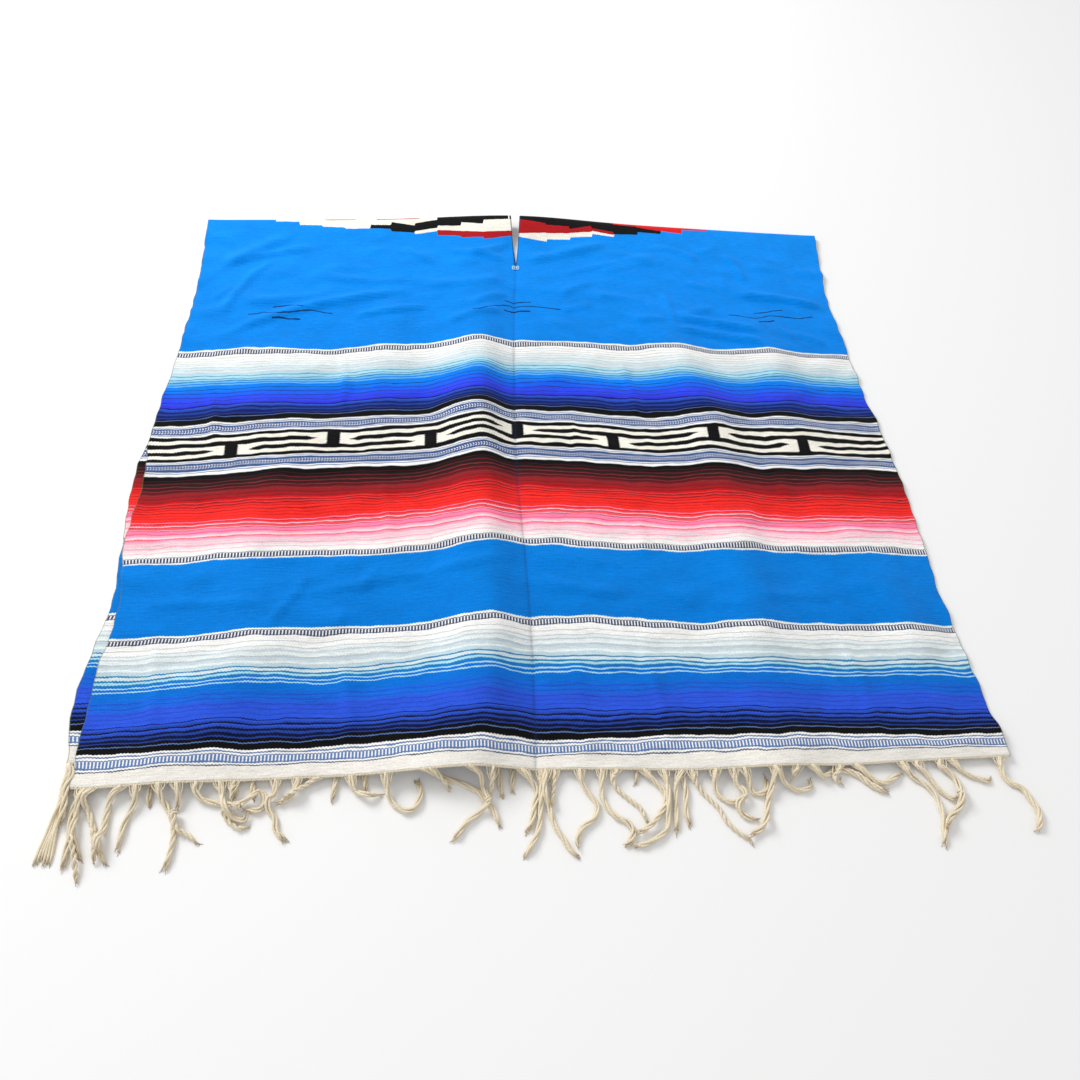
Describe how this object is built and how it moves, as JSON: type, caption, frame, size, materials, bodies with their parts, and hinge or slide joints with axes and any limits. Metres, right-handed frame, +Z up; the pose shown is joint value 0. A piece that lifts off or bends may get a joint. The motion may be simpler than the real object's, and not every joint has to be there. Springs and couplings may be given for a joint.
{
  "type": "mexican poncho",
  "caption": "Serape poncho laid flat: a striped woven rectangle folded at the shoulders, slit at the neck, with knotted cream fringe on both hems.",
  "frame": {"origin": "middle of the poncho's outline, on the floor that it lies on", "axes": "+Z up, +Y towards the shoulder fold, -Y towards the fringed hems, +X across the cloth to the right as seen from the hems"},
  "size_m": [1.2568, 1.2416, 0.0363],
  "materials": {
    "serape_cloth": "matte weft-faced weave with blue fields and banded stripes",
    "fringe_yarn": "matte twisted cream yarn"
  },
  "bodies": {
    "root": {"front_panel": "serape_cloth", "back_panel": "serape_cloth", "fringe_front": "fringe_yarn", "fringe_back": "fringe_yarn"}
  },
  "joints": []
}
